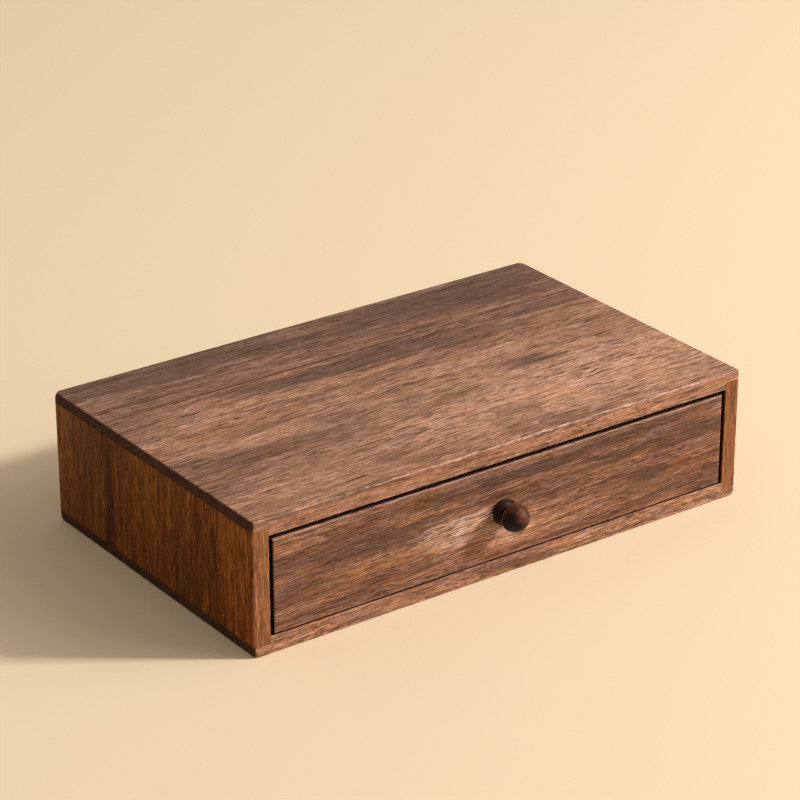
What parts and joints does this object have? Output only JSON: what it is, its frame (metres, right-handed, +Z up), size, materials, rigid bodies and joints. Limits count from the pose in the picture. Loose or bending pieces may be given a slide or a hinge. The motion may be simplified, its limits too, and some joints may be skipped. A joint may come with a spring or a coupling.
{
  "type": "puzzle box",
  "caption": "Flat wooden box with an inset drawer and a turned knob that also works a hidden latch behind the drawer front.",
  "frame": {"origin": "centre of the case's underside, on the surface it rests on", "axes": "+X to the right seen from the front, +Y to the back, +Z up; the drawer opens along -Y"},
  "size_m": [0.35, 0.2334, 0.084],
  "materials": {
    "case_walnut": "satin oil finish",
    "drawer_front_walnut": "satin oil finish",
    "knob_wood": "satin wax finish",
    "inner_wood": "smooth unfinished",
    "latch_wood": "smooth unfinished",
    "steel": "plain steel"
  },
  "bodies": {
    "case": {"top_board_front": "case_walnut", "top_board_rear": "case_walnut", "bottom_board_front": "case_walnut", "bottom_board_rear": "case_walnut", "left_side_board_front": "case_walnut", "left_side_board_rear": "case_walnut", "right_side_board_front": "case_walnut", "right_side_board_rear": "case_walnut", "back_panel": "case_walnut", "left_runner": "inner_wood", "right_runner": "inner_wood", "runner_screws": "steel", "lock_rail": "inner_wood", "rail_screws": "steel", "drawer_stops": "inner_wood"},
    "drawer": {"drawer_front": "drawer_front_walnut", "drawer_left_side": "inner_wood", "drawer_right_side": "inner_wood", "drawer_back": "inner_wood", "drawer_bottom": "inner_wood", "drawer_pegs": "latch_wood", "bottom_brads": "steel", "latch_block": "latch_wood", "latch_stop_pegs": "latch_wood"},
    "knob": {"knob": "knob_wood", "latch_arm": "latch_wood", "latch_cross_pin": "steel"}
  },
  "joints": [
    {"name": "drawer_slide", "type": "slide", "parent": "case", "child": "drawer", "axis": [0, -1, 0], "range_m": [0, 0.17]},
    {"name": "knob_turn", "type": "hinge", "parent": "drawer", "child": "knob", "pos_m": [-0.003, -0.0838, 0.0411], "axis": [0, -1, 0], "range_deg": [0, 90]}
  ]
}
